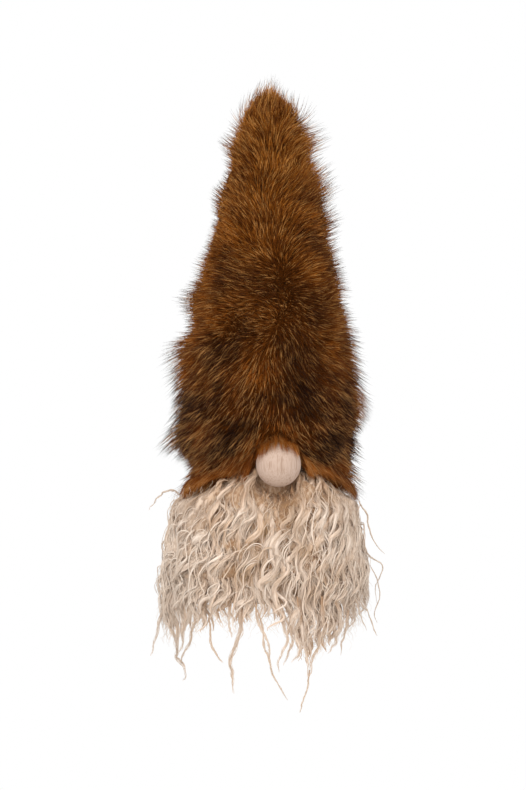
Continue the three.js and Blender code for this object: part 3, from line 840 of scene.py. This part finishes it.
# The longest locks hang free below the rest, and a few stand off at the sides. Each is given by
# its half width and its way down, in millimetres to the right of the middle and above the base.
long_locks = [
    (3.4, [(-80, 22), (-83, 2), (-86, -16), (-90, -30), (-94, -44)]),
    (3.0, [(-72, 10), (-76, -8), (-71, -24), (-73, -40), (-72, -46), (-66, -52), (-66, -60), (-69, -64)]),
    (2.8, [(-58, 8), (-60, -6), (-66, -18), (-68, -32), (-72, -42)]),
    (1.6, [(-50, 4), (-54, -10), (-60, -20), (-62, -30), (-67, -40), (-70, -50)]),
    (0.8, [(-47, -8), (-45, -30), (-41, -38), (-36, -45)]),
    (0.9, [(-30, 2), (-31, -14), (-29, -24)]),
    (2.0, [(-21, 4), (-22, -12), (-24, -26), (-29, -36), (-30, -48), (-28, -58), (-29, -69)]),
    (0.7, [(-12, 4), (-6, -12), (-4, -30), (0, -40), (2, -52), (10, -66), (14, -74)]),
    (0.7, [(-10, 6), (-9, -12), (-2, -24), (0, -36), (2, -52)]),
    (1.2, [(4, 4), (11, -14), (14, -28), (8, -40), (7, -52)]),
    (1.2, [(8, 4), (12, -8), (18, -24), (15, -36), (11, -46)]),
    (3.4, [(22, 8), (24, -10), (27, -26), (29, -42), (31, -56)]),
    (2.8, [(40, 8), (42, -10), (40, -26), (34, -42), (31, -56)]),
    (0.6, [(31, -50), (30, -64), (26, -76), (24, -84)]),
    (2.4, [(26, -6), (20, -20), (24, -34), (17, -44)]),
    (1.8, [(52, 4), (56, -12), (52, -28), (46, -38)]),
    (1.0, [(62, -4), (60, -18), (57, -30), (56, -40)]),
    (0.8, [(68, 4), (72, -10), (78, -24)]),
    (0.8, [(72, 0), (78, -8), (84, -24), (86, -28)]),
    (1.3, [(-70, 84), (-76, 88), (-84, 86), (-90, 80), (-96, 72)]),
    (1.2, [(70, 80), (76, 72), (79, 62), (80, 54), (86, 44), (92, 37)]),
    (1.1, [(76, 52), (76, 42), (82, 34), (90, 28), (88, 18), (84, 10), (86, -2)]),
    (0.8, [(80, 30), (86, 16), (88, 4), (84, -10), (86, -18)]),
    (2.6, [(-8, 34), (-10, 16), (-6, 0), (-9, -10)]),
    (2.2, [(-15, 28), (-12, 10), (-16, -4), (-13, -12)]),
    (2.0, [(-2, 30), (-4, 12), (0, -2), (-3, -8)]),
]
blunt_lock, long_count, long_steps = 6, len(long_locks), 48


def long_line(way):
    """The way of a long lock, laid on the beard's outer face."""
    across, height = smooth_route([(x, z, 0) for x, z in way], long_steps)[:, :2].T
    reach = np.maximum(np.interp(height, bulk_heights, bulk_radii) - 3, np.abs(across) + 0.5)
    forward = middle - MM * np.sqrt(reach ** 2 - across ** 2)
    return np.stack([MM * across, forward, underside + MM * height], axis=-1)


long_lines = np.array([long_line(way) for _, way in long_locks])
long_width = np.array([width for width, _ in long_locks])
long_tone = rng.uniform(0.6, 0.9, long_count)
long_swing = np.minimum(0.9, 0.6 * long_width)[:, None] * (0.2 + wandering(rng, long_count, long_steps, 9))
long_pace = np.cumsum(0.4 + 1.2 * wandering(rng, long_count, long_steps, 7), axis=1) / long_steps
long_turn = 2 * pi * (rng.uniform(2.5, 5, (long_count, 1)) * long_pace + rng.random((long_count, 1)))
long_waves = MM * (long_swing * np.sin(long_turn))[..., None] * [1, 0, 0]
wool_piece("wool_long_locks", wool,
           bundle(rng, long_lines, long_waves, long_width, fibres=14, points=34, radius=0.19, tone=long_tone,
                  curl=0.4))
bluntness = np.where(np.arange(long_count) == blunt_lock, 6.0, 1.7)
lock_bodies("wool_long_lock_bodies", (long_lines + long_waves, 0.48 * long_width, long_tone, bluntness))

# Single strands of longer wool have come loose from the locks. They lie over them in wide waves
# and a few open curls, and are paler than the rest: a painted highlight on the outermost wool.
loose_count, broad_count = 200, 140
loose_lines, loose_waves = lock_lines(rng, loose_count, points=52, depths=(0.9, 1.05), swings=(2.4, 5.6),
                                      shortest=34, curled=1.3, apart=1.6)
fine = bundle(rng, loose_lines, loose_waves, np.full(loose_count, 0.9), fibres=1, points=42, radius=0.32,
              tone=rng.uniform(0.7, 1.0, loose_count), curl=0.3)
broad = bundle(rng, loose_lines[:broad_count], loose_waves[:broad_count],
               np.full(broad_count, 0.4), fibres=1, points=42, radius=0.62,
               tone=rng.uniform(0.75, 1.0, broad_count), curl=0.1)
wool_piece("wool_single_strands", wool, fine, broad)

# The hat is long pile fur fabric: a knitted backing that is cut as a cone, sewn up the back and
# stuffed tight, short dense underfur, and long guard hair that lies up at the tip and down below.
side_share, backing_thickness = 0.93, 1.5


def hat_surface(angle, share, stand_off=0.0):
    """Radius and height on the hat, for shares 0 at the hem to 1 at the very tip."""
    hem = hem_line(angle)
    side = hem + (cone_top - hem) * np.minimum(1, share / side_share)
    turn = np.clip((share - side_share) / (1 - side_share), 0, 1) * pi / 2
    radius = np.where(share < side_share, hat_radius(side), tip_radius * np.cos(turn))
    radius = radius + stand_off * np.cos(turn)
    return radius, side + (tip_height + stand_off) * np.sin(turn)


def on_hat(angle, share, stand_off=0.0):
    return spot(angle, *hat_surface(angle, share, stand_off))


def knit_finish():
    """The knitted back of fur fabric: fine rows of brown loops."""
    material, tree = new_material("fur_backing")
    wave = {"Vector": on_piece(tree), "Scale": 260.0, "Distortion": 2.0}
    rows = node(tree, "ShaderNodeTexWave", wave, "Fac", bands_direction="Z")
    color = ramp(rows, (0.2, tint(52, 32, 18)), (0.8, tint(92, 62, 38)))
    return finish(material, color, 0.9, 0.2, relief=rows, depth=0.0004)


def underfur_depth(angle, share):
    """How far the dense underfur stands off the backing, in millimetres."""
    clumps = rolling(on_hat(angle, share), 9, 31)
    return 0.4 + (7.3 + 1.5 * clumps) * step(share, 0, 0.05) * (1 - 0.3 * step(share, 0.9, 1))


angle, share = around_grid(ring(72), np.linspace(0, 1, 61))
backing = two_skins("hat_backing", on_hat(angle, share), on_hat(angle, share, -backing_thickness), bag=True)
fit(backing, ["hat_fur"], knit_finish())
angle, share = around_grid(ring(96), np.linspace(0.004, 1, 101))
radius, height = hat_surface(angle, share, underfur_depth(angle, share))
pole = share > 0.9999
underfur_face = spot(angle, np.where(pole, 0, radius), np.where(pole, height[pole].mean(), height))
underfur = two_skins("hat_underfur", underfur_face, on_hat(angle, share, 0.15), bag=True)
fit(underfur, ["hat_fur"],
    grained("underfur", tint(34, 14, 2), tint(80, 41, 9), scale=900.0, detail=6.0, depth=0.0015,
            roughness=1.0, squeeze=0.35, specular=0.03))

# How the pile lies. It stands up and out at the tip, straight out at half height, and down and
# out towards the hem, and on the front it parts to both sides. Each row is a height, and how many
# millimetres longer the pile is on the left and on the right. The last two lists say how far it
# hangs over the wool at angles round the hem.
lean_heights, left_reach, right_reach = zip(
    (84, 3, 2), (97, 3, 2), (106, -4, 0), (116, -4, -2), (124, 2, -3), (136, 9, -6), (150, 0, -1),
    (165, 1, 3), (190, 5, 0), (204, 10, 0), (214, -2, 0), (222, -3, -2), (238, 4, -5), (246, 1, -4),
    (258, -5, -4), (270, -4, -4), (285, -8, -5), (300, -9, 0), (309, -7, -3), (318, -4, 5),
    (330, -8, 2), (338, -9, 0), (348, -4, -4), (356, 0, 6), (366, -4, 5), (376, -4, 3), (384, -3, -2),
    (394, -4, -7))
hang_angles = np.radians((-180, -100, -75, -60, -45, -32, -22, -12, 6, 24, 30, 44, 60, 78, 100, 180))
hangs = (9, 10, 12, 10, 6, 2, 5, 12, 9, 9, 4, 5, 9, 12, 10, 9)

# Places of painted shade on the front of the fur, in its creases and towards its sides: how far
# beside the middle and how high they are, their size, all in millimetres, and how dark they are.
shaded_fur_places = ((-16, 334, 9, 0.5), (22, 312, 11, 0.6), (28, 362, 10, 0.4), (35, 314, 12, 0.4),
               (42, 278, 18, 0.45), (4, 262, 22, 0.4), (-24, 140, 13, 0.4), (38, 138, 18, 0.6),
               (56, 128, 18, 0.6), (30, 222, 16, 0.3), (-42, 200, 14, 0.3), (-62, 160, 16, 0.4),
               (-52, 134, 16, 0.4), (20, 180, 24, 0.25))


def fur_patch(name, shares, columns=160, rows=26):
    """A band of the backing as an open sheet that carries the lie, length, warmth and painted shade of the
    pile.
    """
    grid = around_grid(ring(columns), np.linspace(*shares, rows))
    angle, share = grid[0].ravel(), grid[1].ravel()
    sunk = 0.45 * underfur_depth(angle, share)
    radius, height = hat_surface(angle, share, sunk)
    points = spot(angle, radius, height)
    up = unit(on_hat(angle, np.minimum(share + 0.01, 1)) - on_hat(angle, np.maximum(share - 0.01, 0)))
    around = np.stack([np.cos(angle), np.sin(angle), 0 * angle], axis=1)
    away = np.stack([np.sin(angle), -np.cos(angle), 0 * angle], axis=1)
    hem, beside = hem_line(angle), angle - nose_angle
    over_nose = np.exp(-(beside / 0.34) ** 2) * (1 - step(height, hem + 10, hem + 34))
    tip, low = step(height, 375, 384), 1 - step(height, 165, 225)
    parting = np.tanh(beside / 0.45) * np.exp(-(beside / 1.5) ** 2)
    lift = 0.75 * step(height, 215, 320) - 0.95 * low
    lift = lift + (0.3 - 0.12 * low) * rolling(points, 30, 1) * (1 - tip)
    sway = (0.4 - 0.16 * low) * rolling(points, 27, 2) + (0.45 + 0.4 * low) * parting
    sway = sway * (1 - over_nose) * (1 - tip) + over_nose * np.tanh(beside / 0.1) * 0.9
    outward = (1 - 0.86 * tip) * (1 - 0.55 * np.cos(angle) ** 2)
    lay = outward[:, None] * away + (lift + 1.5 * tip)[:, None] * [0, 0, 1] + sway[:, None] * around
    lay[:, 0] += 0.45 * tip
    left, right = np.interp(height, lean_heights, left_reach), np.interp(height, lean_heights, right_reach)
    reach = np.maximum(-np.sin(angle), 0) ** 2 * left + np.maximum(np.sin(angle), 0) ** 2 * right
    length = (18 + reach + 1.5 * step(height, 215, 320)) * (1 + 0.12 * rolling(points, 20, 3))
    length = length * (1 - 0.25 * over_nose)
    hang = np.interp(angle, hang_angles, hangs)
    length *= 1 - 0.6 * (1 - hang / 13) * (1 - step(height, hem, hem + 16))
    warm = 0.42 + (0.45 + 0.3 * low) * rolling(points, 24, 4) + 0.25 * step(height, 230, 330)
    # The shaded places on the front lower the warmth, down to below 0: painted shade.
    warm += 0.36 * low * rolling(points, 11, 5) - near_places(points, shaded_fur_places) * (np.cos(angle) > 0)
    warm += 0.75 * np.exp(-(beside / 0.75) ** 2) * (1 - step(height, hem + 10, hem + 28))
    # Painted shade in a band above the hem over the nose, where the long pile overhangs the brow.
    warm -= 0.2 * np.exp(-(beside / 0.9) ** 2 - ((height - hem - 42) / 16) ** 2)
    patch = new_piece(name, points, grid_faces(columns, rows, True))
    store(patch, "lay", unit(lay))
    store(patch, "rise", np.cross(around, up))
    store(patch, "spread", 0.5 * (1 - 0.8 * tip)[:, None] * away)
    store(patch, "length", np.maximum(length - sunk, 5) * MM)
    store(patch, "warm", np.clip(warm, -0.7, 1))
    return patch


def pile_tree():
    """Hairs that grow from a sheet, gather in locks and tufts, and bend from rise to lay."""
    tree, given = new_tree(
        "pile", hair="Object", hairs_per_area="Float", locks_per_area="Float",
        tufts_per_area="Float", seed="Int", width="Float", tuft_pull="Float", lock_pull="Float",
        stray="Float", guard_share="Float", ball_centre="Vector", ball_radius="Float",
        material="Material")
    place = node(tree, "GeometryNodeInputPosition")
    lay, rise, spread, spin = fields(tree, "FLOAT_VECTOR", "lay", "rise", "spread", "spin")
    length, guard = fields(tree, "FLOAT", "length", "guard")

    def chance(low, high, seed):
        kind = "FLOAT_VECTOR" if isinstance(low, tuple) else "FLOAT"
        return node(tree, "FunctionNodeRandomValue", {"Min": low, "Max": high, "Seed": seed}, data_type=kind)

    def less(first, second):
        inputs = {"A": first, "B": second}
        return node(tree, "FunctionNodeCompare", inputs, data_type="FLOAT", operation="LESS_THAN")

    def scattered(density, seed):
        return node(tree, "GeometryNodeDistributePointsOnFaces",
                    {"Mesh": given.geometry, "Density": density, "Seed": given.seed + seed})

    def strayed(stray, seed):
        """The way of a hair that strays from the lay."""
        return (lay + chance((-1, -1, -1), (1, 1, 1), seed) * stray).work("NORMALIZE")

    def nearest(targets, label, kind):
        """A value kept on the nearest of some other points."""
        index = node(tree, "GeometryNodeSampleNearest", {"Geometry": targets, "Sample Position": place})
        inputs = {"Geometry": targets, "Value": fields(tree, kind, label)[0], "Index": index}
        return node(tree, "GeometryNodeSampleIndex", inputs, data_type=kind)

    def pulled(end, targets, amount):
        return end + (nearest(targets, "end", "FLOAT_VECTOR") - end) * amount

    tufts = keep(scattered(given.tufts_per_area, 50), end=place + strayed(0.35, 11) * length,
                 tone=chance(0.0, 1.0, 12))
    lock_end = place + strayed(0.25, 13) * (length * chance(0.72, 1.2, 21))
    locks = keep(scattered(given.locks_per_area, 70), end=pulled(lock_end, tufts, given.tuft_pull),
                 tone=nearest(tufts, "tone", "FLOAT") * 0.4 + chance(0.0, 0.6, 14))
    hairs = keep(scattered(given.hairs_per_area, 0), guard=less(chance(0.0, 1.0, 15), given.guard_share))
    own_length = length * (chance(0.6, 1.08, 16) + guard * 0.66)
    own_lay = (strayed(given.stray, 17) + spread * guard).work("NORMALIZE")
    own_end = place + own_lay * own_length
    pull = given.lock_pull * chance(0.4, 1.0, 18) * (guard * -0.5 + 1.0)
    own_tone = chance(0.0, 1.0, 20).work("POWER", 3.0) * 0.8
    hairs = keep(hairs, root=place, knee=place + rise * (own_length * 0.4) + own_lay * (own_length * 0.16),
                 end=pulled(own_end, locks, pull), spin=chance((-1, -1, -1), (1, 1, 1), 19),
                 tone=nearest(locks, "tone", "FLOAT") * 0.35 + own_tone + 0.12)
    root, knee, end, shape = fields(tree, "FLOAT_VECTOR", "root", "knee", "end", "shape")
    in_ball = less(end.work("DISTANCE", given.ball_centre), given.ball_radius)
    hairs = node(tree, "GeometryNodeDeleteGeometry", {"Geometry": hairs, "Selection": in_ball})
    one = node(tree, "GeometryNodeObjectInfo", {"Object": given.hair}, "Geometry")
    grown = node(tree, "GeometryNodeInstanceOnPoints", {"Points": hairs, "Instance": one})
    grown = node(tree, "GeometryNodeRealizeInstances", {"Geometry": grown})
    along = part(shape, "Z")
    first, second = root + (knee - root) * along, knee + (end - knee) * along
    heading = (second - first).work("NORMALIZE")
    side = heading.work("CROSS_PRODUCT", spin).work("NORMALIZE")
    wide = given.width * (guard * 0.25 + 1.0)
    line = (first + (second - first) * along + side * (part(shape, "X") * wide)
            + heading.work("CROSS_PRODUCT", side) * (part(shape, "Y") * wide))
    grown = node(tree, "GeometryNodeSetPosition", {"Geometry": keep(grown, along=along), "Position": line})
    return finish_tree(tree, grown, given.material)


def one_hair(*rings):
    """A straight three sided hair of unit size: across in X and Y, along in Z."""
    turns = np.arange(3) * 2 * pi / 3
    points = [(wide * cos(t), wide * sin(t), place) for place, wide in rings for t in turns] + [(0, 0, 1)]
    faces = [(2, 1, 0)]
    for start in range(0, 3 * len(rings) - 3, 3):
        for a, b in ((start, start + 1), (start + 1, start + 2), (start + 2, start)):
            faces += [(a, b, b + 3), (a, b + 3, a + 3)]
    last = 3 * len(rings)
    faces += [(last - 3, last - 2, last), (last - 2, last - 1, last), (last - 1, last - 3, last)]
    hair = new_piece("one_hair", points, faces)
    store(hair, "shape", points)
    return hair


def fur_finish():
    """Brown pile: painted shade at the root, golden to brown along it, painted silver highlights, near black
    guard hair ends.
    """
    material, tree = new_material("hat_fur_pile")
    along, tone, warm, guard = (kept(tree, label) for label in ("along", "tone", "warm", "guard"))
    share = rising(part(on_piece(tree), "Z"), underside + 110 * MM, underside + 390 * MM)
    cool = mixed(tree, share, tint(73, 36, 8), tint(162, 101, 39))
    gold = mixed(tree, share, tint(206, 126, 46), tint(208, 138, 51))
    painted_highlight = mixed(tree, share, tint(212, 160, 102), tint(228, 166, 92))
    color = mixed(tree, warm, cool, gold)
    color = color * ramp(tone, (0.1, tint(84, 58, 30)), (0.4, tint(196, 176, 146)),
                         (0.75, tint(255, 248, 236)))
    # Painted highlight: the palest hairs, more of them low down and near the tip, go silvery, for light
    # glinting along them.
    pale = tone + (share - 0.55).work("ABSOLUTE") * 0.5
    color = mixed(tree, ramp(pale, (0.79, (0, 0, 0, 1)), (0.98, white)), color, painted_highlight)
    # Painted shade: warmth below 0, in the shaded places and the band under the brow, darkens the colour.
    color = color * ramp(warm + 1.0, (0.3, tint(150, 138, 128)), (1.0, white))
    # Painted shade: each hair darkens towards its root, deep in the pile.
    color = color * ramp(along, (0.0, tint(90, 70, 52)), (0.5, tint(216, 204, 190)), (0.8, white))
    dark_end = guard * ramp(along, (0.62, (0, 0, 0, 1)), (0.86, white))
    return finish(material, mixed(tree, dark_end, color, tint(52, 34, 22)), 0.5, specular=0.08)


fur, pile, hair = fur_finish(), pile_tree(), one_hair((0.0, 1.0), (0.5, 0.85))
band_count, hairs_per_band = 8, 11400
fine_shares = np.linspace(0, 1, 401)
fine_radius, fine_height = hat_surface(np.full_like(fine_shares, 2.0), fine_shares)
ring_area = 0.5 * (fine_radius[1:] + fine_radius[:-1]) * np.hypot(np.diff(fine_radius), np.diff(fine_height))
area_share = np.append(0, np.cumsum(ring_area)) / ring_area.sum()
band_shares = np.interp(np.linspace(0, 1, band_count + 1), area_share, fine_shares)
for band in range(band_count):
    patch = fur_patch("patch", band_shares[band:band + 2])
    area = sum(face.area for face in patch.data.polygons)
    piece = run_tree(patch, pile, f"hat_pile_{band + 1}", hair=hair, hairs_per_area=hairs_per_band / area,
                     locks_per_area=90000.0, tufts_per_area=9500.0, seed=band, width=0.17 * MM,
                     tuft_pull=0.35, lock_pull=0.28, stray=0.25, guard_share=0.13,
                     ball_centre=tuple(nose_centre), ball_radius=18.0 * MM, material=fur)
    fit(piece, ["hat_fur"])
bpy.data.objects.remove(hair)

# Golden hairs at the hem gather in small tufts. Above the nose they lie over the top of the
# wooden ball, and beside it they hang over the upper edge of the wool.
brow_tufts, hem_tufts, root_depth = 64, 170, 3


def bowed(root, knee, end, points):
    """Lines that leave their roots towards their knees and bend to their ends."""
    t = np.linspace(0, 1, points)[None, :, None]
    return root * (1 - t) ** 2 + 2 * knee * t * (1 - t) + end * t ** 2


def over_ball(rng, count, points):
    """Hairs from the hem above the nose to the ball's upper front, and the tuft of each."""
    tuft = rng.integers(0, brow_tufts, count)
    stray, climb_stray, root_stray = rng.normal(0, 1.0, (3, count, 1))
    tuft_side, tuft_climb = rng.uniform(-1.25, 1.25, brow_tufts), rng.normal(0, 9, brow_tufts)
    side = tuft_side[tuft][:, None] + 0.09 * stray
    root_angle = nose_angle + 0.36 * side + 0.03 * root_stray
    root_height = hem_line(root_angle) + rng.uniform(1, 14, (count, 1))
    climb = np.radians(45 + tuft_climb[tuft][:, None] + 4 * climb_stray) - 0.22 * side ** 2
    stand_off = nose_radius + rng.uniform(0.3, 2.6, (count, 1))

    def on_ball(climb, stand_off):
        level, turn = stand_off * np.cos(climb), side + nose_angle
        forward = -level * np.cos(turn)
        place = np.stack([level * np.sin(turn), forward, stand_off * np.sin(climb)], -1)
        return nose_centre + MM * place

    root = spot(root_angle, hat_radius(root_height) + root_depth, root_height)
    knee = on_ball(np.minimum(climb + 0.75, 1.7), stand_off * 1.3)
    gap = bowed(root, knee, on_ball(climb, stand_off), points)
    gap -= nose_centre
    far = np.linalg.norm(gap, axis=-1, keepdims=True)
    return nose_centre + gap / far * np.maximum(far, MM * (nose_radius + 0.3)), tuft


def over_wool(rng, count, points):
    """Hairs from the hem's edge that hang over the upper edge of the wool, and the tuft of each."""
    tuft = rng.integers(0, hem_tufts, count)
    stray, drop_stray, out_stray = rng.normal(0, 1.0, (3, count, 1))
    tuft_angle, tuft_drop = rng.uniform(-1.85, 1.85, hem_tufts), rng.uniform(0.7, 1.25, hem_tufts)
    angle = tuft_angle[tuft][:, None] + 0.08 * stray
    beside = angle - nose_angle
    beside_ball = nose_angle + np.sign(beside) * (0.27 + np.abs(stray) * 0.05)
    angle = np.where(np.abs(beside) < 0.27, beside_ball, angle)
    hem = hem_line(angle)
    root_height = hem + rng.uniform(0, 12, (count, 1))
    end_height = hem - (np.interp(angle, hang_angles, hangs) * tuft_drop[tuft][:, None] + 1.5 * drop_stray)
    end_angle = angle + 0.2 * np.tanh((angle - nose_angle) / 0.5) - 0.03 * stray
    end_radius = hat_radius(hem) + 13 + 6 * np.sin(end_angle) ** 2 + 1.2 * out_stray
    root = spot(angle, hat_radius(root_height) + root_depth, root_height)
    knee = spot(0.5 * (angle + end_angle), end_radius - 2, 0.6 * root_height + 0.4 * end_height + 2)
    return bowed(root, knee, spot(end_angle, end_radius, end_height), points), tuft


hem_rng = np.random.default_rng(5)
for name, hang_over, count in (("hat_brow_hair", over_ball, 700), ("hat_hem_fringe", over_wool, 2300)):
    lines, tuft = hang_over(hem_rng, count, 8)
    tuft_tone = hem_rng.uniform(0.1, 0.5, hem_tufts)[tuft][:, None]
    tuft_warm = hem_rng.uniform(0.6, 1.0, hem_tufts)[tuft][:, None]
    along = np.linspace(0, 1, 8)[None]
    thick = MM * hem_rng.uniform(0.09, 0.15, (count, 1)) * (1 - 0.8 * along ** 2)
    tone = tuft_tone + 0.4 * hem_rng.random((count, 1)) ** 1.8
    piece = strand_piece(name, lines, fur, sides=3, thick=thick, along=along, guard=0.0, warm=tuft_warm,
                         tone=tone)
    fit(piece, ["hat_fur"])
